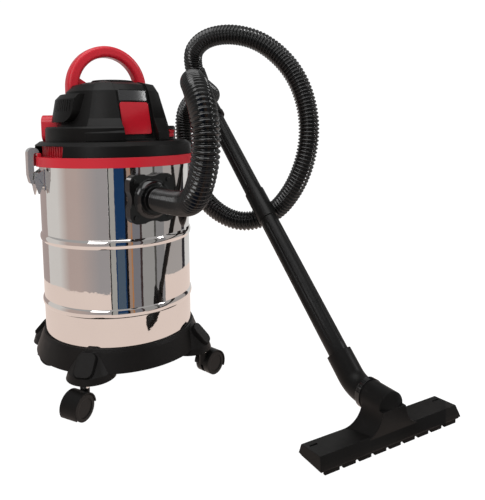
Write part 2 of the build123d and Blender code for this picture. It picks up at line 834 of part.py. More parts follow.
blade_tip = (impeller_radius - half_blade, half_blade, impeller_top_z)
for index in range(impeller_blades):
    impeller += Rot(0, 0, 360 * index / impeller_blades) * block(blade_root, blade_tip)
parts["impeller"] = impeller - disc(shaft_radius, impeller_low_z, impeller_top_z)

# Float valve and filter cartridge under the bulkhead
cage_low_z = plate_under_z - cage_height
cage = ring(cage_radius, cage_radius - cage_wall, cage_low_z, plate_under_z)
cage += ring(lid_opening + cage_flange, cage_seat_bore, plate_under_z - cage_wall, plate_under_z)
cage += disc(cage_radius, cage_low_z, cage_low_z + cage_wall)
for index in range(cage_windows):
    cage -= facing(360 * index / cage_windows, cage_radius, plate_under_z - cage_height / 2) * Box(
        cage_window, cage_height - 2 * cage_window_margin, cage_radius / 2)
parts["float_cage"] = cage
float_low_z = cage_low_z + cage_wall + slide_gap
float_high_z = float_low_z + float_height
float_edge = float_radius - float_bevel
parts["float"] = turned([
    (0, float_low_z), (float_edge, float_low_z), (float_radius, float_low_z + float_bevel),
    (float_radius, float_high_z - float_bevel), (float_edge, float_high_z), (0, float_high_z),
])
filter_low_z = plate_under_z - filter_height
filter_body = ring(filter_radius, filter_radius - filter_wall, filter_low_z, plate_under_z)
parts["filter"] = filter_body + disc(filter_radius, filter_low_z - filter_cap, filter_low_z)

# Inlet: scalloped flange on a curved gasket, with a tail pipe inside the drum
inlet_face = drum_radius + inlet_stand_off
collar_end = inlet_face + inlet_collar_length
gasket_outer = drum_radius + gasket_thickness
flange_sketch = RectangleRounded(inlet_width, inlet_width, inlet_corner)
scallop_reach = inlet_width / 2 + inlet_scallop_radius - inlet_scallop
for angle in (0, 90, 180, 270):
    flange_sketch -= Rot(0, 0, angle) * Pos(scallop_reach, 0) * Circle(inlet_scallop_radius)
inlet_plane = Plane(origin=inlet_axis, x_dir=(1, 0, 0), z_dir=FORWARD)
flange_block = inlet_plane * Pos(0, 0, inlet_face / 2) * extrude(flange_sketch, amount=inlet_face / 2)
flange = flange_block - disc(gasket_outer, 0, drum_rim_z)
flange += rod(inlet_axis + FORWARD * gasket_outer, FORWARD, inlet_collar, collar_end - gasket_outer)
flange -= rod(inlet_axis, FORWARD, inlet_bore, collar_end)
gasket = flange_block & ring(gasket_outer, drum_radius, 0, drum_rim_z)
gasket -= rod(inlet_axis, FORWARD, tail_radius + seat_gap, collar_end)
for place in inlet_screw_places:
    flange -= rod(place, FORWARD, screw_radius + press_gap, collar_end)
    gasket -= rod(place, FORWARD, screw_radius + press_gap, collar_end)
parts["inlet_flange"] = flange
parts["inlet_gasket"] = gasket
parts["inlet_screws"] = Compound(children=[
    screw(place + FORWARD * inlet_face, FORWARD, screw_radius, screw_head, screw_head_height, inlet_screw_length)
    for place in inlet_screw_places])
tail_start = inlet_axis + FORWARD * (drum_radius - tail_length)
tail = rod(tail_start, FORWARD, tail_radius, 2 * tail_length) - rod(tail_start, FORWARD, inlet_bore, 2 * tail_length)
tail &= disc(gasket_outer, 0, drum_rim_z)
parts["inlet_tail"] = tail - Plane(origin=tail_start, x_dir=(1, 0, 0), z_dir=(0, 1, -1)) * Box(
    drum_radius, drum_radius, 2 * tail_length, align=BASE)

# Hose with its two cuffs
hose_start = inlet_axis + FORWARD * (collar_end + cuff_length)
cuff_start = inlet_axis + FORWARD * (collar_end - cuff_plug)
machine_cuff = rod(cuff_start, FORWARD, inlet_bore - press_gap, cuff_plug)
machine_cuff += rod(inlet_axis + FORWARD * collar_end, FORWARD, cuff_radius, cuff_length)
parts["hose_machine_cuff"] = machine_cuff - rod(cuff_start, FORWARD, cuff_bore, cuff_plug + cuff_length)

route = [hose_start + Vector(*step) for step in hose_route]
runs = [after - before for before, after in zip(route, route[1:])]
bends = []
for before, after in zip(runs, runs[1:]):
    half_turn = radians(before.get_angle(after)) / 2
    bends.append(bend_share * min(before.length, after.length) / tan(half_turn))
hose_path = FilletPolyline(*route, radius=bends)


def hose_tube(stations):
    """Ruled tube through circles at (share of the length, radius), on a steady X axis."""
    steady = Vector(1, 0, 0)
    circles = []
    for share, radius in stations:
        tangent = hose_path.tangent_at(share)
        steady = (steady - tangent * steady.dot(tangent)).normalized()
        circles.append(Plane(origin=hose_path.position_at(share), x_dir=steady, z_dir=tangent) * Circle(radius))
    return loft(circles, ruled=True)


rib_profile = ((0.0, hose_root), (0.3, hose_crest), (0.55, hose_crest), (0.85, hose_root))
rib_stations = [((rib + step) / hose_ribs, radius) for rib in range(hose_ribs) for step, radius in rib_profile]
bore_stations = [(rib / hose_ribs, hose_bore) for rib in range(hose_ribs + 1)]
hose = hose_tube(rib_stations + [(1.0, hose_root)]) - hose_tube(bore_stations)
mean_radius = (hose_root + hose_crest) / 2
section = pi * (mean_radius ** 2 - hose_bore ** 2)
print("hose bend radii", [round(bend) for bend in bends])
print("hose length", round(hose_path.length), "volume over section times length",
      round(hose.volume / (section * hose_path.length), 3))
parts["hose"] = hose

hose_end = route[-1]
hose_dir = runs[-1].normalized()
wand_cuff_start = hose_end - hose_dir * wand_cuff_length
parts["hose_wand_cuff"] = rod(wand_cuff_start, hose_dir, wand_cuff_radius, wand_cuff_length) - rod(
    wand_cuff_start, hose_dir, hose_crest + press_gap, wand_cuff_length)

# Hand grip: a bent tube that takes the hose at one end and the wand at the other
grip_corner = hose_end + hose_dir * grip_reach
wand_dir = (grip_corner - elbow_mouth).normalized()
grip_turn = radians(hose_dir.get_angle(wand_dir * -1))
grip_end = grip_corner - wand_dir * (grip_bend * tan(grip_turn / 2) + grip_straight)
grip_path = FilletPolyline(hose_end, grip_corner, grip_end, radius=grip_bend)
grip_plane = Plane(origin=hose_end, z_dir=hose_dir)
grip = sweep(grip_plane * Circle(grip_radius), grip_path)
grip += rod(grip_end, wand_dir, grip_radius + grip_lip, grip_lip_length)
grip -= sweep(grip_plane * Circle(grip_bore), grip_path)
parts["hand_grip"] = grip - rod(grip_end, wand_dir, tube_radius + press_gap, tube_insert)

# Wand: two fluted tubes, the lower one swelling to a socket for the upper
wand_length = (grip_end - elbow_mouth).length
socket_start = tube_joint - socket_length


def wand_rod(radius, start, end):
    """Cylinder along the wand between two distances from the elbow's mouth."""
    return rod(elbow_mouth + wand_dir * start, wand_dir, radius, end - start)


def flutes(start, end):
    """Long shallow grooves round a tube."""
    plane = Plane(origin=elbow_mouth + wand_dir * start, z_dir=wand_dir)
    reach = tube_radius + flute_radius - flute_depth
    groove = Pos(reach, 0, 0) * Cylinder(flute_radius, end - start, align=BASE)
    return [plane * Rot(0, 0, 360 * index / flute_count) * groove for index in range(flute_count)]


lower = wand_rod(tube_radius, -tube_insert, tube_joint - tube_insert)
lower -= flutes(flute_margin, socket_start - flute_margin)
lower += wand_rod(tube_radius + press_gap + socket_wall, socket_start, tube_joint)
lower -= wand_rod(tube_bore, -tube_insert, tube_joint)
parts["wand_lower"] = lower - wand_rod(tube_radius + press_gap, tube_joint - tube_insert, tube_joint)
upper = wand_rod(tube_radius, tube_joint - tube_insert, wand_length + tube_insert)
upper -= flutes(tube_joint + flute_margin, wand_length - flute_margin)
parts["wand_upper"] = upper - wand_rod(tube_bore, tube_joint - tube_insert, wand_length + tube_insert)

# Nozzle elbow: a socket for the wand, a bend, and a spigot that the nozzle's barrel turns on
elbow_corner = elbow_mouth - wand_dir * elbow_arm
nozzle_forward = Vector(sin(radians(nozzle_yaw)), -cos(radians(nozzle_yaw)), 0)
nozzle_centre = elbow_corner + nozzle_forward * nozzle_reach
nozzle_place = Pos(nozzle_centre.X, nozzle_centre.Y, 0) * Rot(0, 0, nozzle_yaw)
barrel_z = elbow_corner.Z
elbow_end = nozzle_centre - nozzle_forward * (barrel_back + swivel_collar_length + slide_gap)
elbow_path = FilletPolyline(elbow_mouth, elbow_corner, elbow_end, radius=elbow_bend)
mouth_plane = Plane(origin=elbow_mouth, z_dir=wand_dir * -1)
elbow = sweep(mouth_plane * Circle(elbow_radius), elbow_path)
elbow += rod(elbow_end, nozzle_forward, barrel_bore - slide_gap, spigot_length)
elbow -= sweep(mouth_plane * Circle(elbow_bore), elbow_path)
elbow -= rod(elbow_end, nozzle_forward, elbow_bore, spigot_length)
parts["nozzle_elbow"] = elbow - wand_rod(tube_radius + press_gap, -tube_insert, 0)

# Nozzle: a long low body with a barrel on a saddle, a sole plate and two notched strips
mouth_roof_z = nozzle_ridge_z - nozzle_roof
mouth_half_length = nozzle_half_length - mouth_end_wall
body = slab_along_x([
    (nozzle_back, nozzle_foot_z), (nozzle_back - nozzle_draft, nozzle_back_z), (nozzle_ridge, nozzle_ridge_z),
    (nozzle_front + nozzle_draft, nozzle_front_z), (nozzle_front, nozzle_foot_z),
], -nozzle_half_length, nozzle_half_length)
body -= pair(slab_along_y([
    (nozzle_half_length, nozzle_foot_z), (2 * nozzle_half_length, nozzle_foot_z),
    (2 * nozzle_half_length, nozzle_ridge_z), (nozzle_half_length - nozzle_end_slope, nozzle_ridge_z),
], 2 * nozzle_front, 2 * nozzle_back))
neck_sweep = barrel_z - nozzle_back_z
neck_half_width = barrel_radius + neck_sweep
neck_belly_x = neck_half_width - neck_sweep * cos(radians(45))
neck_belly_z = barrel_z - neck_sweep * sin(radians(45))
neck_back = nozzle_back - nozzle_draft
body += extrude(make_face([
    Line((-neck_half_width, neck_front, mouth_roof_z), (neck_half_width, neck_front, mouth_roof_z)),
    Line((neck_half_width, neck_front, mouth_roof_z), (neck_half_width, neck_front, nozzle_back_z)),
    ThreePointArc((neck_half_width, neck_front, nozzle_back_z), (neck_belly_x, neck_front, neck_belly_z),
                  (barrel_radius, neck_front, barrel_z)),
    Line((barrel_radius, neck_front, barrel_z), (-barrel_radius, neck_front, barrel_z)),
    ThreePointArc((-barrel_radius, neck_front, barrel_z), (-neck_belly_x, neck_front, neck_belly_z),
                  (-neck_half_width, neck_front, nozzle_back_z)),
    Line((-neck_half_width, neck_front, nozzle_back_z), (-neck_half_width, neck_front, mouth_roof_z)),
]), amount=neck_back - neck_front, dir=(0, 1, 0))
clip_end = nozzle_half_length - clip_inset
body -= pair(block((clip_end - clip_length, 0, nozzle_back_z - clip_depth / 2),
                   (clip_end, clip_width, 2 * nozzle_ridge_z)))
barrel_start = Vector(0, barrel_back, barrel_z)
barrel_length = barrel_back - barrel_front
body += rod(barrel_start, FORWARD, barrel_radius, barrel_length)
dome_radius = (barrel_radius ** 2 + barrel_dome ** 2) / (2 * barrel_dome)
dome = Pos(0, barrel_front + dome_radius - barrel_dome, barrel_z) * Sphere(dome_radius)
body += dome & rod(Vector(0, barrel_front, barrel_z), FORWARD, barrel_radius, barrel_dome)
body -= block((-mouth_half_length, mouth_front, nozzle_foot_z), (mouth_half_length, mouth_back, mouth_roof_z))
body -= block((-throat_half_width, mouth_front, nozzle_foot_z), (throat_half_width, mouth_back, barrel_z))
body -= rod(barrel_start, FORWARD, barrel_bore, barrel_length - barrel_cap)
sole_low_z = nozzle_foot_z - sole_thickness
sole_screw_x = nozzle_half_length - sole_screw_inset
sole_screw_places = [Vector(x, sole_screw_y, sole_low_z) for x in (-sole_screw_x, sole_screw_x)]
sole_half_length = nozzle_half_length - sole_margin
sole = block((-sole_half_length, nozzle_front + sole_margin, sole_low_z),
             (sole_half_length, nozzle_back - sole_margin, nozzle_foot_z))
sole -= block((-mouth_half_length, mouth_front, sole_low_z), (mouth_half_length, mouth_back, nozzle_foot_z))
for place in sole_screw_places:
    body -= rod(place, UP, screw_radius, sole_screw_length)
    sole -= rod(place, UP, screw_radius, sole_screw_length)


def notched_strip(y):
    """Strip that stands on the floor under the sole, notched between its teeth."""
    half_length = nozzle_half_length - strip_margin
    half_thickness = strip_thickness / 2
    strip = block((-half_length, y - half_thickness, 0), (half_length, y + half_thickness, sole_low_z))
    step = 2 * half_length / strip_teeth
    for index in range(1, strip_teeth):
        middle = index * step - half_length
        strip -= block((middle - strip_notch / 2, y - strip_thickness, 0),
                       (middle + strip_notch / 2, y + strip_thickness, strip_notch_height))
    return strip


swivel_collar_start = barrel_start + ACROSS * swivel_collar_length
swivel_collar = rod(swivel_collar_start, FORWARD, swivel_collar_radius, swivel_collar_length)
swivel_collar -= rod(swivel_collar_start, FORWARD, barrel_bore, swivel_collar_length)
parts["nozzle_body"] = nozzle_place * body
parts["nozzle_collar"] = nozzle_place * swivel_collar
parts["nozzle_sole"] = nozzle_place * sole
parts["nozzle_front_strip"] = nozzle_place * notched_strip(strip_front)
parts["nozzle_rear_strip"] = nozzle_place * notched_strip(strip_rear)
parts["nozzle_screws"] = Compound(children=[
    nozzle_place * screw(place, UP * -1, screw_radius, screw_head, sole_screw_head_height, sole_screw_length)
    for place in sole_screw_places])

# Latches: a bracket on the drum, a lever on its pin, and a hook on the lever
pivot_x = drum_radius + latch_pivot_out
pivot_z = drum_rim_z - latch_pivot_drop
pivot = Vector(pivot_x, 0, pivot_z)
bracket_outer = drum_radius + latch_sheet
bracket_low_z = pivot_z - bracket_below
bracket_high_z = pivot_z + bracket_above
bracket = ring(bracket_outer, drum_radius, bracket_low_z, bracket_high_z) & block(
    (0, -latch_half_width, bracket_low_z), (pivot_x, latch_half_width, bracket_high_z))


def both_flanks(inner, outer, outline, centre, radius):
    """Two cheeks, each with a round end, on either side of the latch's middle plane."""
    cheek = slab_along_y(outline, inner, outer) + rod(centre + ACROSS * inner, ACROSS, radius, outer - inner)
    return cheek + mirror(cheek, about=Plane.XZ)


def cross_rod(centre, radius, half_length):
    """Cylinder along Y through a pivot."""
    return rod(centre - ACROSS * half_length, ACROSS, radius, 2 * half_length)


ear_foot_x = drum_radius + ear_root
bracket += both_flanks(latch_half_width - latch_sheet, latch_half_width, [
    (ear_foot_x, bracket_low_z + ear_radius), (pivot_x, pivot_z - ear_radius), (pivot_x, pivot_z + ear_radius),
    (ear_foot_x, bracket_high_z),
], pivot, ear_radius)
for y in (-rivet_y, rivet_y):
    bracket += rod(Vector(ear_foot_x, y, bracket_low_z + rivet_up), OUT, rivet_head, latch_sheet + rivet_height)
both_sides("latch_bracket", bracket - cross_rod(pivot, latch_pin, latch_half_width))
both_sides("latch_pin", cross_rod(pivot, latch_pin, latch_half_width))

lever_x = drum_radius + lever_out
lever_face = lever_x + latch_sheet
lever_tip_z = pivot_z - lever_tail
lever_outline = [
    (-lever_tip_half, lever_tip_z), (lever_tip_half, lever_tip_z), (lever_half_width, lever_tip_z + lever_taper),
    (lever_half_width, pivot_z + flange_head), (-lever_half_width, pivot_z + flange_head),
    (-lever_half_width, lever_tip_z + lever_taper),
]
lever = slab_along_x(lever_outline, lever_x, lever_face)
lever += both_flanks(lever_half_width - latch_sheet, lever_half_width, [
    (lever_face, pivot_z - flange_tail), (lever_face, pivot_z + flange_head),
    (pivot_x - flange_reach, pivot_z + flange_head), (pivot_x - flange_reach, pivot_z - flange_reach),
], pivot, flange_reach)
hook_pivot = Vector(drum_radius + hook_pivot_out, 0, pivot_z - hook_pivot_below)
hook_cheek = hook_half_width + 5 * slide_gap
hook_cheek_outer = hook_cheek + latch_sheet
lever += both_flanks(hook_cheek, hook_cheek_outer, [
    (lever_x, hook_pivot.Z - 2 * hook_eye), (hook_pivot.X, hook_pivot.Z - hook_eye),
    (hook_pivot.X, hook_pivot.Z + hook_eye), (lever_x, hook_pivot.Z + 2 * hook_eye),
], hook_pivot, hook_eye)
lever -= cross_rod(pivot, latch_pin + press_gap, latch_half_width)
lever += cross_rod(hook_pivot, hook_pin, hook_cheek_outer)
both_sides("latch_lever", lever)

hook_out_x = drum_radius + hook_strap_out
hook_in_x = hook_out_x - hook_sheet
hook_tip_x = drum_radius + hook_tip_out
hook_lip_x = hook_tip_x + hook_sheet
hook_top_z = ring_top_z + hook_top_rise
hook_roof_z = hook_top_z - hook_sheet
hook_tip_z = ring_top_z + hook_tip_rise
hook = slab_along_y([
    (hook_in_x, hook_pivot.Z), (hook_out_x, hook_pivot.Z), (hook_out_x, hook_top_z), (hook_tip_x, hook_top_z),
    (hook_tip_x, hook_tip_z), (hook_lip_x, hook_tip_z), (hook_lip_x, hook_roof_z), (hook_in_x, hook_roof_z),
], -hook_half_width, hook_half_width)
hook += cross_rod(hook_pivot, hook_eye, hook_half_width)
both_sides("latch_hook", hook - cross_rod(hook_pivot, hook_pin + press_gap, hook_half_width))

os.makedirs("parts", exist_ok=True)
for name, shape in parts.items():
    export_step(shape, os.path.join("parts", name + ".step"))
print(len(parts), "nodes written")
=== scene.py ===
# %% [markdown]
# # A shop vacuum, dressed in Blender
# The solid model already holds every rigid piece at its real size, so this lesson adds what a solid can't
# say: the ribbed hose as one flexible tube, small folded and turned details, the finish of each surface,
# and a plain studio to look at it in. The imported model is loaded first. Everything below is in metres, in
# the same frame: +Z up, front towards -Y.

import bmesh
import bpy
import numpy as np
from mathutils import Matrix, Vector


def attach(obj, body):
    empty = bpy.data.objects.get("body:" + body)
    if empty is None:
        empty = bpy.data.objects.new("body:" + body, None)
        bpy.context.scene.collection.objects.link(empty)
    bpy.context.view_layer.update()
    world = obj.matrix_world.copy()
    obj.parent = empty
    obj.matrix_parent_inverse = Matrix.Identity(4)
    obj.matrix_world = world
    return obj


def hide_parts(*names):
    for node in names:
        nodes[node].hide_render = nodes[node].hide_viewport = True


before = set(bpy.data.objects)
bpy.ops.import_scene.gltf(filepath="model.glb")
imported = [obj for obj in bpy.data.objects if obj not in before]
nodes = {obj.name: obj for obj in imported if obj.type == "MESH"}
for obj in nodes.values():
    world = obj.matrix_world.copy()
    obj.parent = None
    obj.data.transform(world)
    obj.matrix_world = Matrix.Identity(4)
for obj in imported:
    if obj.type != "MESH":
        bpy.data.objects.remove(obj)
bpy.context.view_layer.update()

# %% [markdown]
# ## Camera
# The photograph was taken from a little above the lid, in front and to the left of the machine, with a
# moderately wide lens. The camera's place and two of its directions are given outright, because a real
# picture is rarely level: this one leans by about half a degree. The shift moves the frame, not the view
# point, as cropping a photo does.

# %% Camera
camera_place = Vector((-0.40977, -0.95134, 0.48626))
view_forward = Vector((0.56607, 0.81768, -0.10472))
view_up = Vector((0.06896, 0.07962, 0.99444))


def aim_matrix(place, forward, up):
    """Camera axes: x to the right, y up, z back along the line of sight."""
    back = -forward.normalized()
    right = up.cross(back).normalized()
    upward = back.cross(right)
    return Matrix((
        (right.x, upward.x, back.x, place.x),
        (right.y, upward.y, back.y, place.y),
        (right.z, upward.z, back.z, place.z),
        (0, 0, 0, 1),
    ))


camera_data = bpy.data.cameras.new("photo_camera")
camera_data.sensor_width = 36.0
camera_data.lens = 37.94
camera_data.shift_x = 0.0423
camera_data.shift_y = -0.1403
camera_data.clip_start = 0.01
camera = bpy.data.objects.new("photo_camera", camera_data)
camera.matrix_world = aim_matrix(camera_place, view_forward, view_up)
bpy.context.collection.objects.link(camera)
bpy.context.scene.camera = camera
print("camera", [round(v, 3) for v in camera_place])

# %% [markdown]
# ## Surfaces from arrays
# A grid of points is enough for every new surface here: one direction runs along a piece, the other round
# it. The points are worked out as whole arrays, and the faces follow from the grid's own numbering.

# %% Grid helper
def grid_object(name, points, wrap_round=True):
    """Mesh object from points with axes (along, round, xyz); the round direction may close on itself."""
    along, around, _ = points.shape
    index = np.arange(along * around).reshape(along, around)
    if wrap_round:
        index = np.concatenate([index, index[:, :1]], axis=1)
    corners = [index[:-1, :-1], index[:-1, 1:], index[1:, 1:], index[1:, :-1]]
    quads = np.stack(corners, axis=-1).reshape(-1, 4)
    mesh = bpy.data.meshes.new(name)
    mesh.from_pydata(points.reshape(-1, 3), [], quads)
    mesh.polygons.foreach_set("use_smooth", np.ones(len(quads), dtype=bool))
    mesh.update()
    piece = bpy.data.objects.new(name, mesh)
    bpy.context.collection.objects.link(piece)
    return piece


# %% [markdown]
# ## Finishes
# Each finish is a small node tree on Object coordinates, which are metres here. Moulded plastic has a
# spark-eroded grain of about half a millimetre, so a fine noise feeds its bump. A second, slow noise
# makes some patches a little shinier, as handling does. Polished sheet keeps a faint lengthwise drawing
# texture.

# %% Node helpers
def new_finish(name):
    """A new material, its node tree and its shader; the tree starts with just the shader and the output."""
    material = bpy.data.materials.new(name)
    material.use_nodes = True
    tree = material.node_tree
    return material, tree, tree.nodes["Principled BSDF"]


def object_coordinates(tree, scale=(1, 1, 1)):
    """Object coordinates, stretched by a scale on each axis."""
    source = tree.nodes.new("ShaderNodeTexCoord")
    mapping = tree.nodes.new("ShaderNodeMapping")
    mapping.inputs["Scale"].default_value = scale
    tree.links.new(source.outputs["Object"], mapping.inputs["Vector"])
    return mapping.outputs["Vector"]


def noise(tree, coordinates, scale, detail=3.0, roughness=0.5):
    """Fractal noise value between 0 and 1."""
    node = tree.nodes.new("ShaderNodeTexNoise")
    node.inputs["Scale"].default_value = scale
    node.inputs["Detail"].default_value = detail
    node.inputs["Roughness"].default_value = roughness
    tree.links.new(coordinates, node.inputs["Vector"])
    return node.outputs["Fac"]


def spread(tree, value, low, high, from_low=0.3, from_high=0.7):
    """A value carried from one range to another, clamped."""
    node = tree.nodes.new("ShaderNodeMapRange")
    node.inputs["From Min"].default_value = from_low
    node.inputs["From Max"].default_value = from_high
    node.inputs["To Min"].default_value = low
    node.inputs["To Max"].default_value = high
    tree.links.new(value, node.inputs["Value"])
    return node.outputs["Result"]


def two_tone(tree, value, dark, light):
    """Colour between two tones, by a value."""
    node = tree.nodes.new("ShaderNodeMix")
    node.data_type = "RGBA"
    node.inputs["A"].default_value = (*dark, 1)
    node.inputs["B"].default_value = (*light, 1)
    tree.links.new(value, node.inputs["Factor"])
    return node.outputs["Result"]


def bump(tree, value, distance, normal=None):
    """Surface normal raised by a value, over a depth in metres, on top of another normal."""
    node = tree.nodes.new("ShaderNodeBump")
    node.inputs["Distance"].default_value = distance
    tree.links.new(value, node.inputs["Height"])
    if normal:
        tree.links.new(normal, node.inputs["Normal"])
    return node.outputs["Normal"]


def soft_edges(tree, radius):
    """Surface normal that turns smoothly over each edge, as on a moulding with small rounds."""
    node = tree.nodes.new("ShaderNodeBevel")
    node.inputs["Radius"].default_value = radius
    return node.outputs["Normal"]


# %% Moulded plastics
edge_round = 0.0012
patch_scale = 18.0
patch_gloss = 0.06


def moulded(name, dark, light, rough, grain, grain_depth, specular=0.5):
    """Moulded plastic: grain in bump, slow patches of handling in colour and roughness, softened edges."""
    material, tree, shader = new_finish(name)
    place = object_coordinates(tree)
    fine = noise(tree, place, grain, 2.0)
    slow = noise(tree, place, patch_scale, 4.0, 0.6)
    tree.links.new(two_tone(tree, spread(tree, slow, 0, 1), dark, light), shader.inputs["Base Color"])
    tree.links.new(spread(tree, slow, rough + patch_gloss, rough - patch_gloss), shader.inputs["Roughness"])
    tree.links.new(bump(tree, fine, grain_depth, soft_edges(tree, edge_round)), shader.inputs["Normal"])
    shader.inputs["Specular IOR Level"].default_value = specular
    return material


black_moulded = moulded("black_moulded", (0.003, 0.0028, 0.0027), (0.0055, 0.0051, 0.0049),
                        0.40, 1500, 0.00006, 0.13)
black_tray = moulded("black_tray", (0.0045, 0.004, 0.0038), (0.008, 0.0072, 0.0068),
                     0.46, 1700, 0.00008, 0.14)
black_satin = moulded("black_satin", (0.003, 0.003, 0.0029), (0.005, 0.0048, 0.0047),
                      0.34, 900, 0.00003, 0.18)
black_shiny = moulded("black_shiny", (0.0022, 0.0022, 0.0022), (0.0035, 0.0035, 0.0035),
                      0.12, 600, 0.00002, 0.5)
# Channel panel: dark grey plastic whose base is set lighter than the other blacks, partly as painted sheen.
sheen_painted_panel = moulded("sheen_painted_panel", (0.020, 0.020, 0.021), (0.028, 0.028, 0.029),
                      0.28, 900, 0.00002, 0.5)
black_rubber = moulded("black_rubber", (0.002, 0.002, 0.002), (0.004, 0.0038, 0.0036),
                       0.62, 1800, 0.00008, 0.08)
red_moulded = moulded("red_moulded", (0.47, 0.009, 0.020), (0.53, 0.012, 0.025),
                      0.33, 700, 0.00002, 0.35)
red_shiny = moulded("red_shiny", (0.36, 0.008, 0.016), (0.42, 0.011, 0.021),
                    0.16, 500, 0.00001)
natural_plastic = moulded("natural_plastic", (0.62, 0.61, 0.56), (0.70, 0.69, 0.64),
                          0.42, 900, 0.00003)
print("plastics ready")

# %% Metals and paper
streak_scale = 60.0
cloud_scale = 9.0
least_rough = 0.01


def metal(name, dark, light, rough, streak, streak_depth, cloud=0.04):
    """Metal: long drawing streaks in bump, slow clouds in tint and roughness."""
    material, tree, shader = new_finish(name)
    streaks = noise(tree, object_coordinates(tree, streak), streak_scale)
    clouds = noise(tree, object_coordinates(tree), cloud_scale, 4.0, 0.6)
    tree.links.new(two_tone(tree, spread(tree, clouds, 0, 1), dark, light), shader.inputs["Base Color"])
    shiniest = max(rough - cloud, least_rough)
    tree.links.new(spread(tree, clouds, rough + cloud, shiniest), shader.inputs["Roughness"])
    tree.links.new(bump(tree, streaks, streak_depth), shader.inputs["Normal"])
    shader.inputs["Metallic"].default_value = 1.0
    return material


polished_steel = metal("polished_steel", (0.79, 0.755, 0.735), (0.82, 0.79, 0.77), 0.035,
                       (0.4, 0.4, 0.5), 0.0002, 0.015)
zinc_steel = metal("zinc_steel", (0.74, 0.74, 0.73), (0.86, 0.86, 0.84), 0.16, (4, 4, 30), 0.00002)
motor_steel = metal("motor_steel", (0.22, 0.23, 0.24), (0.30, 0.31, 0.32), 0.40, (20, 20, 20), 0.00004)
copper = metal("copper", (0.45, 0.18, 0.09), (0.60, 0.30, 0.16), 0.34, (10, 10, 60), 0.00008)


fold_turn = 1 / 160
fold_depth = 0.003


def pleated_paper():
    """Filter paper: folds run round the axis as a fan of ridges, and the colour is painted darker towards
    each valley, as shade.
    """
    material, tree, shader = new_finish("pleated_paper")
    gradient = tree.nodes.new("ShaderNodeTexGradient")
    gradient.gradient_type = "RADIAL"
    tree.links.new(object_coordinates(tree), gradient.inputs["Vector"])
    turns = tree.nodes.new("ShaderNodeMath")
    turns.operation = "PINGPONG"
    turns.inputs[1].default_value = fold_turn
    tree.links.new(gradient.outputs["Fac"], turns.inputs[0])
    fold = spread(tree, turns.outputs["Value"], 0, 1, 0, fold_turn)
    # Painted shade: darker where the fold sits low, lighter on the ridges.
    fold_shade_tint = two_tone(tree, fold, (0.50, 0.46, 0.36), (0.80, 0.76, 0.66))
    tree.links.new(fold_shade_tint, shader.inputs["Base Color"])
    tree.links.new(bump(tree, fold, fold_depth), shader.inputs["Normal"])
    shader.inputs["Roughness"].default_value = 0.9
    return material


filter_paper = pleated_paper()
print("metals and paper ready")

# %% [markdown]
# ## Which piece has which finish
# A solid keeps its shape and only changes its coat, so the pieces are listed by finish.

# %% Dress the solids
coats = {
    polished_steel: ["drum"],
    zinc_steel: ["base_bolts", "head_screws", "nozzle_screws", "left_latch_bracket", "right_latch_bracket",
                 "left_latch_pin", "right_latch_pin", "left_latch_lever", "right_latch_lever",
                 "left_latch_hook", "right_latch_hook"],
    black_tray: ["base_tray"],
    black_moulded: ["head_cover", "top_cap", "nozzle_body", "nozzle_sole", "nozzle_elbow",
                    "caster_front_left_fork", "caster_front_right_fork", "caster_rear_left_fork",
                    "caster_rear_right_fork", "inlet_tail"],
    black_satin: ["wand_lower", "wand_upper", "hand_grip", "hose_wand_cuff",
                  "caster_front_left_wheels", "caster_front_right_wheels",
                  "caster_rear_left_wheels", "caster_rear_right_wheels"],
    black_shiny: ["inlet_screws", "inlet_flange", "hose_machine_cuff", "nozzle_collar", "switch_body"],
    black_rubber: ["inlet_gasket", "lid_seal", "cord_gland", "motor_mount", "nozzle_front_strip",
                   "nozzle_rear_strip"],
    red_moulded: ["lid_ring", "carry_handle", "blower_port"],
    red_shiny: ["badge_plate", "switch_rocker"],
    motor_steel: ["fan_housing", "motor_can", "impeller"],
    copper: ["motor_stator", "motor_armature"],
    natural_plastic: ["float_cage", "float"],
    filter_paper: ["filter"],
}


def coat(piece, material):
    """Puts one material on every slot of a piece."""
    if not piece.material_slots:
        piece.data.materials.append(material)
    for material_slot in piece.material_slots:
        material_slot.material = material


for material, names in coats.items():
    for name in names:
        coat(nodes[name], material)
print(sum(len(names) for names in coats.values()), "solids dressed")

# %% [markdown]
# ## Hose
# A vacuum hose is a thin plastic wall blown into close rings, so it bends without kinking. Its line is
# one NURBS spline on the same route points as the solid. The spline is read back as points, and a ribbed
# profile is carried along them: rings of points whose radius swells and shrinks along the length. The
# rings are turned by a side vector that is the X axis with its part along the hose taken away, so they
# don't twist.

# %% Hose
hose_route = [
    (0, -172, 362), (0, -250, 362), (-20, -326, 380), (-27, -366, 444), (-25, -358, 500), (-12, -318, 538),
    (18, -258, 553), (62, -200, 551), (126, -138, 542), (182, -62, 544), (198, 16, 546), (200, 75, 515),
    (199, 75, 442), (198, 36, 372), (198, -22, 314), (234, -84, 280), (284, -134, 300), (295, -190, 362),
    (300, -220, 436), (306, -214, 512), (298, -182, 588), (268, -126, 648), (228, -68, 670), (199, -6, 664),
    (201, 48, 630), (230, 59, 581),
]
millimetre = 0.001
hose_crest = 0.020
hose_root = 0.0166
hose_sides = 32
rib_pitch = 0.0070
rib_fullness = 0.8
stations_per_rib = 10


def spline_points(name, route):
    """Points along a NURBS spline of order 3 that starts and ends on the route's own ends."""
    curve = bpy.data.curves.new(name, "CURVE")
    curve.dimensions = "3D"
    spline = curve.splines.new("NURBS")
    spline.points.add(len(route) - 1)
    for point, place in zip(spline.points, route):
        point.co = (*[v * millimetre for v in place], 1)
    spline.order_u = 3
    spline.use_endpoint_u = True
    spline.resolution_u = 24
    holder = bpy.data.objects.new(name, curve)
    mesh = bpy.data.meshes.new_from_object(holder)
    points = np.empty(len(mesh.vertices) * 3)
    mesh.vertices.foreach_get("co", points)
    bpy.data.objects.remove(holder)
    bpy.data.curves.remove(curve)
    bpy.data.meshes.remove(mesh)
    return points.reshape(-1, 3)


def unit(vectors):
    """Vectors scaled to length one."""
    return vectors / np.linalg.norm(vectors, axis=-1, keepdims=True)


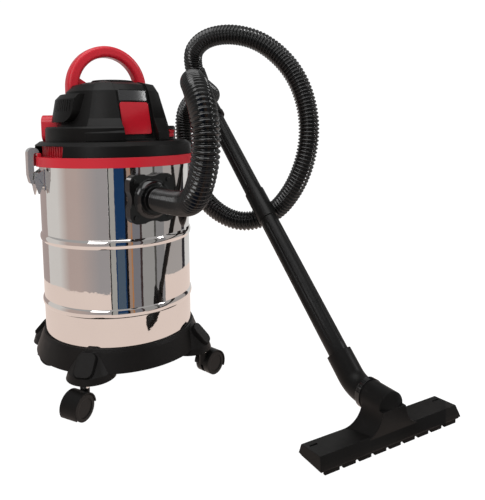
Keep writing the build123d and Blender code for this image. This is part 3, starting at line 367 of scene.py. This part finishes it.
def along_line(points, count):
    """Points at equal steps along a line of points, and the line's length."""
    steps = np.linalg.norm(np.diff(points, axis=0), axis=1)
    travelled = np.concatenate([[0], np.cumsum(steps)])
    even = np.linspace(0, travelled[-1], count)
    places = [np.interp(even, travelled, points[:, axis]) for axis in range(3)]
    return np.stack(places, axis=1), travelled[-1]


def tube_points(line, radii, around):
    """Rings round a line: centre + radius x (side x cos + other side x sin), as (along, round, xyz)."""
    tangent = unit(np.gradient(line, axis=0))
    across = np.array([1.0, 0.0, 0.0])
    side = unit(across - tangent * (tangent @ across)[:, None])
    other = np.cross(tangent, side)
    angle = np.linspace(0, 2 * np.pi, around, endpoint=False)
    cosine = np.cos(angle)[None, :, None]
    sine = np.sin(angle)[None, :, None]
    ring = side[:, None] * cosine + other[:, None] * sine
    return line[:, None] + radii[:, None, None] * ring


hose_spline = spline_points("hose_line", hose_route)
_, hose_length = along_line(hose_spline, 2)
rib_count = round(hose_length / rib_pitch)
hose_line, _ = along_line(hose_spline, rib_count * stations_per_rib + 1)
phase = np.linspace(0, rib_count, len(hose_line))
wave = 0.5 - 0.5 * np.cos(2 * np.pi * phase)
hose_radii = hose_root + (hose_crest - hose_root) * wave ** rib_fullness
hose = grid_object("ribbed_hose", tube_points(hose_line, hose_radii, hose_sides))
coat(hose, black_shiny)
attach(hose, "base")
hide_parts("hose")
print("hose", round(hose_length, 3), "m,", rib_count, "ribs")

# %% [markdown]
# ## Folded latches
# Latches are pressed from sheet and folded into channels, so from the side they show broad cheeks, not a
# thin edge. A cheek is a strip between an outer and an inner line, drawn in radius and height. Carried
# across its width it is a bar with four sides, so a row of four-point rings describes it, pinched to a
# point at each end. The ends are then joined, and the edges stay sharp where the sheet turns by more than
# an angle.

# %% Latches
sharp_turn = np.radians(35)
same_place = 1e-6
arch_steps = 13


def bar_points(outer, inner, low, high):
    """Rings of four corners along two lines of (u, h), from one level to another, outer line first."""
    corners = [(outer, low), (outer, high), (inner, high), (inner, low)]
    edges = [np.insert(np.array(line, float), 1, level, axis=1) for line, level in corners]
    rings = np.stack(edges, axis=1)
    ends = np.repeat(rings[[0, -1]].mean(axis=1, keepdims=True), 4, axis=1)
    return np.concatenate([ends[:1], rings, ends[1:]]) * millimetre


def close_up(piece):
    """Joins points that fall together, turns all faces outwards and keeps the folds sharp."""
    shape = bmesh.new()
    shape.from_mesh(piece.data)
    bmesh.ops.remove_doubles(shape, verts=shape.verts, dist=same_place)
    bmesh.ops.recalc_face_normals(shape, faces=shape.faces)
    shape.to_mesh(piece.data)
    shape.free()
    piece.data.set_sharp_from_angle(angle=sharp_turn)
    return piece


def arch(middle, height, radius):
    """Half circle of (radius, height) points from the outer side over the top."""
    turn = np.radians(np.linspace(0, 180, arch_steps))
    return np.stack([middle + radius * np.cos(turn), height + radius * np.sin(turn)], axis=1)


hook_outer = np.concatenate([
    [(160.5, 386.2), (162.5, 389), (165.2, 402)], arch(155.2, 439.5, 10), [(145.2, 435.5)]])
hook_inner = np.concatenate([
    [(156.6, 386.2), (155.2, 389), (155.2, 402)], arch(151.7, 436.5, 3.5), [(148.2, 435.5)]])
hook_half_width = 8.0
cheek_outer = [(155.6, 406.5), (157.6, 393), (155.4, 384), (150.8, 368)]
cheek_inner = [(146, 405), (143.6, 393), (143.6, 381), (148.6, 368)]
cheek_sheet = 1.1
cheek_levels = {"front": -12.9, "back": 11.8}


def latch_piece(name, points, side, body):
    """One piece of a latch, on the right (side 1) or mirrored to the left (side -1), riding on its body."""
    piece = close_up(grid_object(name, points * np.array([side, 1, 1])))
    coat(piece, zinc_steel)
    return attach(piece, body)


for hand, side in (("left", -1), ("right", 1)):
    hook_bar = bar_points(hook_outer, hook_inner, -hook_half_width, hook_half_width)
    channel = latch_piece(hand + "_hook_channel", hook_bar, side, hand + "_hook")
    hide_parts(hand + "_latch_hook")
    for end, low in cheek_levels.items():
        cheek_bar = bar_points(cheek_outer, cheek_inner, low, low + cheek_sheet)
        latch_piece(hand + "_lever_cheek_" + end, cheek_bar, side, hand + "_lever")
print("latches folded")

# %% [markdown]
# ## Turned pieces
# The inlet's flange swells to its collar in one glossy bell, and a plated sleeve shows on each caster's
# stem. Both are turned: one closed profile of radius and place, carried round an axis.

# %% Bell and sleeves
bell_sides = 48
sleeve_sides = 32


def turned_points(profile, around=bell_sides):
    """Rings round the Z axis from a closed profile of (radius, height): (r x cos, r x sin, h)."""
    profile = np.array(profile + profile[:1], float) * millimetre
    angle = np.linspace(0, 2 * np.pi, around, endpoint=False)
    radius, height = profile[:, :1], profile[:, 1:]
    return np.stack([radius * np.cos(angle), radius * np.sin(angle), height + 0 * angle], axis=-1)


inlet_height = 0.362
bell_profile = [(25.6, 152.8), (35, 152.8), (34.6, 154), (32.4, 155.2), (30, 157.2), (28.2, 160), (27, 163.2),
                (25.6, 163.2)]
bell_upright = turned_points(bell_profile)
bell_forward = bell_upright[..., [0, 2, 1]] * np.array([1, -1, 1])
bell = close_up(grid_object("inlet_bell", bell_forward + np.array([0, 0, inlet_height])))
coat(bell, black_shiny)
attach(bell, "base")

caster_place = 0.119
sleeve_profile = [(4, 47.5), (8.3, 47.5), (8.3, 54.4), (4, 54.4)]
caster_signs = {"front_left": (-1, -1), "front_right": (1, -1), "rear_left": (-1, 1), "rear_right": (1, 1)}
for corner, (across, along) in caster_signs.items():
    centre = np.array([across, along, 0]) * caster_place
    sleeve = close_up(grid_object(corner + "_sleeve", turned_points(sleeve_profile, sleeve_sides) + centre))
    coat(sleeve, zinc_steel)
    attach(sleeve, corner + "_fork")
print("bell and sleeves turned")

# %% [markdown]
# ## Panels
# Above the badge the cover closes with a glossy, slightly domed panel; its grey base is set lighter than the
# other blacks, partly as painted sheen. At each side of it a dark strip, a little proud of the floor, paints
# the shade inside a slot. Both lie on the channel's leaning floor, so they are drawn flat in the channel's
# own directions and then leaned. Round each of the four caster pads a dark band paints the shade of the gap
# round the pad: a rounded rectangle offset outwards, with a closed profile round it.

# %% Channel panel, slot shade strips and pad shade bands
lean = np.radians(14.5)
channel_foot = np.array([0, -0.1038, 0.463])
channel_axes = np.array([[1, 0, 0], [0, np.sin(lean), np.cos(lean)], [0, -np.cos(lean), np.sin(lean)]])


def channel_piece(name, outer, inner, low, high, material):
    """Bar on the channel's floor: across, up the slope and out of it, leaned into place."""
    piece = close_up(grid_object(name, bar_points(outer, inner, low, high) @ channel_axes + channel_foot))
    coat(piece, material)
    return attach(piece, "head")


panel_half = 26.5
panel_steps = 17
panel_rim = 0.6
panel_rise = 2.2
panel_start = 68.5
panel_end = 87.6
sunk = -1
slot_near = 27.4
slot_far = 31.4
slot_proud = 0.3
slot_start = 70
slot_end = 87
panel_across = np.linspace(-panel_half, panel_half, panel_steps)
panel_dome = panel_rim + panel_rise * (1 - (panel_across / panel_half) ** 2)
panel_top = np.stack([panel_across, panel_dome], axis=1)
panel_root = np.stack([panel_across, panel_across * 0 + sunk], axis=1)
# The panel's lighter grey base is partly painted sheen.
channel_piece("channel_panel", panel_top, panel_root, panel_start, panel_end, sheen_painted_panel)
for hand, side in (("left", -1), ("right", 1)):
    slot_top = [(side * slot_near, slot_proud), (side * slot_far, slot_proud)]
    slot_root = [(side * slot_near, sunk), (side * slot_far, sunk)]
    # Dark rubber strip that paints the shade inside the slot.
    channel_piece(hand + "_slot_shade_strip", slot_top, slot_root, slot_start, slot_end, black_rubber)

pad_half_length = 21.0
pad_half_width = 16.5
pad_corner = 11.0
pad_middle = np.array([164.55, 0, 83.0])
pad_up = np.array([-0.660, 0, 0.751])
pad_out = np.array([0.751, 0, 0.660])
shade_band_profile = np.array([(-0.6, -8), (-0.6, 1), (1.7, 1), (1.7, -8), (-0.6, -8)])


shade_band_sides = 48
half_step = 180 / shade_band_sides


def shade_band_points(turn):
    """Rounded rectangle: a box's corner plus a circle, carried through the (offset, height) profile."""
    angle = np.radians(np.linspace(0, 360, shade_band_sides, endpoint=False) + half_step)
    reach = pad_corner + shade_band_profile[:, :1]
    along = (pad_half_length - pad_corner) * np.sign(np.cos(angle)) + reach * np.cos(angle)
    across = (pad_half_width - pad_corner) * np.sign(np.sin(angle)) + reach * np.sin(angle)
    out = shade_band_profile[:, 1:] + 0 * angle
    pad_across = np.array([0, 1, 0])
    flat = (pad_middle + along[..., None] * pad_up + across[..., None] * pad_across
            + out[..., None] * pad_out)
    swing = np.array(Matrix.Rotation(np.radians(turn), 3, "Z"))
    return flat @ swing.T * millimetre


for corner, turn in (("front_left", 225), ("front_right", 315), ("rear_left", 135), ("rear_right", 45)):
    # Dark rubber band that paints the shade of the gap round the pad.
    shade_band = close_up(grid_object(corner + "_pad_shade_band", shade_band_points(turn)))
    coat(shade_band, black_rubber)
    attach(shade_band, "base")
print("panels and shade_bands laid")

# %% [markdown]
# ## Studio
# A polished drum shows whatever stands round it, so its look is made by the room. A pale floor runs far
# back, soft lights hang above and at the sides, and upright cards stand round the set just for the drum
# to reflect, as a photographer places flags round silverware. The cards are hidden from the camera and
# cast no shadow.

# %% Floor and light
def glowing_paint(name, colour, glow, body=(0, 0, 0)):
    """Matt stage paint that gives off one colour; its body colour is what the other lights find there."""
    material, _, shader = new_finish(name)
    shader.inputs["Base Color"].default_value = (*body, 1)
    shader.inputs["Roughness"].default_value = 0.9
    shader.inputs["Specular IOR Level"].default_value = 0.0
    shader.inputs["Emission Color"].default_value = (*colour, 1)
    shader.inputs["Emission Strength"].default_value = glow
    return material


def level_points(reach, height):
    """Three by three points of a level square that reaches as far to each side."""
    across = np.linspace(-reach, reach, 3)
    return np.stack(np.meshgrid(across, across, [height], indexing="ij"), axis=-1)[:, :, 0]


floor_reach = 6
floor = grid_object("studio_floor", level_points(floor_reach, 0.0), wrap_round=False)
coat(floor, glowing_paint("pale_floor", (1, 1, 1), 1.0, (0.12, 0.12, 0.12)))

world = bpy.data.worlds.new("studio_world")
world.use_nodes = True
room_tree = world.node_tree
seen_directly = room_tree.nodes.new("ShaderNodeLightPath").outputs["Is Camera Ray"]
room_light = 0.40
backdrop_light = 1.05
room_strength = spread(room_tree, seen_directly, room_light, backdrop_light, 0, 1)
room_tree.links.new(room_strength, room_tree.nodes["Background"].inputs["Strength"])
room_tree.nodes["Background"].inputs["Color"].default_value = (1, 1, 1, 1)
bpy.context.scene.world = world
bpy.context.scene.view_settings.view_transform = "Standard"


def soft_light(name, place, aim, width, height, watts):
    """Rectangular lamp that faces a point."""
    lamp = bpy.data.lights.new(name, "AREA")
    lamp.shape = "RECTANGLE"
    lamp.size = width
    lamp.size_y = height
    lamp.energy = watts
    holder = bpy.data.objects.new(name, lamp)
    forward = Vector(aim) - Vector(place)
    holder.matrix_world = aim_matrix(Vector(place), forward, Vector((0, 0, 1)))
    bpy.context.collection.objects.link(holder)


soft_light("overhead", (-0.3, -0.4, 2.4), (0, 0, 0.4), 2.2, 1.6, 34)
soft_light("key_left", (-2.0, -1.4, 1.7), (0, 0, 0.4), 1.2, 1.2, 20)
soft_light("fill_right", (1.9, -1.7, 1.6), (0.1, 0, 0.4), 0.28, 0.7, 15)

# %% [markdown]
# ## Cards for the drum
# The drum is a round mirror, so one narrow stripe on it stands for a wide piece of the room. A row of
# cards round the set gives the stripes: each has a span of bearings, counted from the front, and a
# colour. They glow instead of being lit, so that their colours come out as chosen. Where one stripe melts
# into the next, a card between the two fades from the one colour to the other along its bearing. A sheet
# on the floor gives the warm lower part. The camera, the soft light and the shadows don't see them.

# %% Cards
card_height = 0.52
card_steps = 9


def reflection_only(piece, colour):
    """Leaves a piece to be seen in mirrors alone."""
    coat(piece, glowing_paint(piece.name + "_paint", colour, 1.0))
    piece.visible_camera = False
    piece.visible_diffuse = False
    piece.visible_shadow = False


def card(name, start, end, distance, colour, height=card_height):
    """Upright curved card between two bearings: (distance x sin, -distance x cos), floor to top."""
    bearing = np.radians(np.linspace(start, end, card_steps))
    foot = np.stack([distance * np.sin(bearing), -distance * np.cos(bearing), 0 * bearing], axis=1)
    top = foot + np.array([0, 0, height])
    reflection_only(grid_object(name, np.stack([foot, top], axis=1), wrap_round=False), colour)


def fading_card(name, start, end, distance, first, last):
    """Card whose glow runs from one colour to another, evenly along the bearing arctan2(x, -y)."""
    card(name, start, end, distance, first)
    tree = bpy.data.materials[name + "_paint"].node_tree
    place = tree.nodes.new("ShaderNodeSeparateXYZ")
    tree.links.new(tree.nodes.new("ShaderNodeTexCoord").outputs["Object"], place.inputs[0])
    ahead = tree.nodes.new("ShaderNodeMath")
    ahead.operation = "MULTIPLY"
    tree.links.new(place.outputs["Y"], ahead.inputs[0])
    ahead.inputs[1].default_value = -1.0
    bearing = tree.nodes.new("ShaderNodeMath")
    bearing.operation = "ARCTAN2"
    tree.links.new(place.outputs["X"], bearing.inputs[0])
    tree.links.new(ahead.outputs[0], bearing.inputs[1])
    share = spread(tree, bearing.outputs[0], 0, 1, np.radians(start), np.radians(end))
    shader = tree.nodes["Principled BSDF"]
    tree.links.new(two_tone(tree, share, first, last), shader.inputs["Emission Color"])


near = 0.60
middle = 0.77
far = 0.86
foot_stand = 0.01
foot_height = 0.200
white_glow = (0.68, 0.67, 0.65)
beige_glow = (0.49, 0.40, 0.37)
cool_glow = (0.35, 0.335, 0.34)
card("edge_card", -176, -141, middle, (0.42, 0.35, 0.335))
card("white_card", -141, -112, middle, white_glow)
fading_card("white_fade", -112, -94, middle, white_glow, beige_glow)
card("beige_card", -94, -78, middle, beige_glow)
fading_card("beige_fade", -78, -48, middle, beige_glow, cool_glow)
card("cool_card", -48, -34.5, middle, cool_glow)
card("dark_line", -34, -32.5, near, (0.02, 0.02, 0.022))
card("pale_strip", -32.5, -26, near, (0.38, 0.38, 0.36))
card("navy_card", -26, -13, near, (0.0115, 0.042, 0.116))
card("navy_foot", -24.5, -14.5, near - foot_stand, (0.075, 0.110, 0.155), foot_height)
card("dark_card", -13, -10, near, (0.008, 0.008, 0.010))
card("brown_strip", -10, -6, near, (0.34, 0.25, 0.20))
card("tan_strip", -6, -4, near, (0.42, 0.20, 0.09))
card("slate_card", -4, 6, near, (0.20, 0.20, 0.22))
card("dark_strip", 6, 9, near, (0.05, 0.036, 0.036))
card("grey_card", 9, 27, near, (0.32, 0.32, 0.315))
card("dark_slot", 27, 30, near, (0.08, 0.08, 0.075))
card("right_grey", 30, 44, near, (0.25, 0.25, 0.255))
card("right_pale", 44, 88, far, (0.40, 0.38, 0.37))
card("right_dark", 88, 98, far, (0.03, 0.03, 0.034))
card("right_white", 98, 140, far, (0.68, 0.68, 0.67))

sheet_reach = 1.4
sheet_lift = 0.0004
sheet = grid_object("warm_sheet", level_points(sheet_reach, sheet_lift), wrap_round=False)
reflection_only(sheet, (0.83, 0.70, 0.635))
print("studio ready")
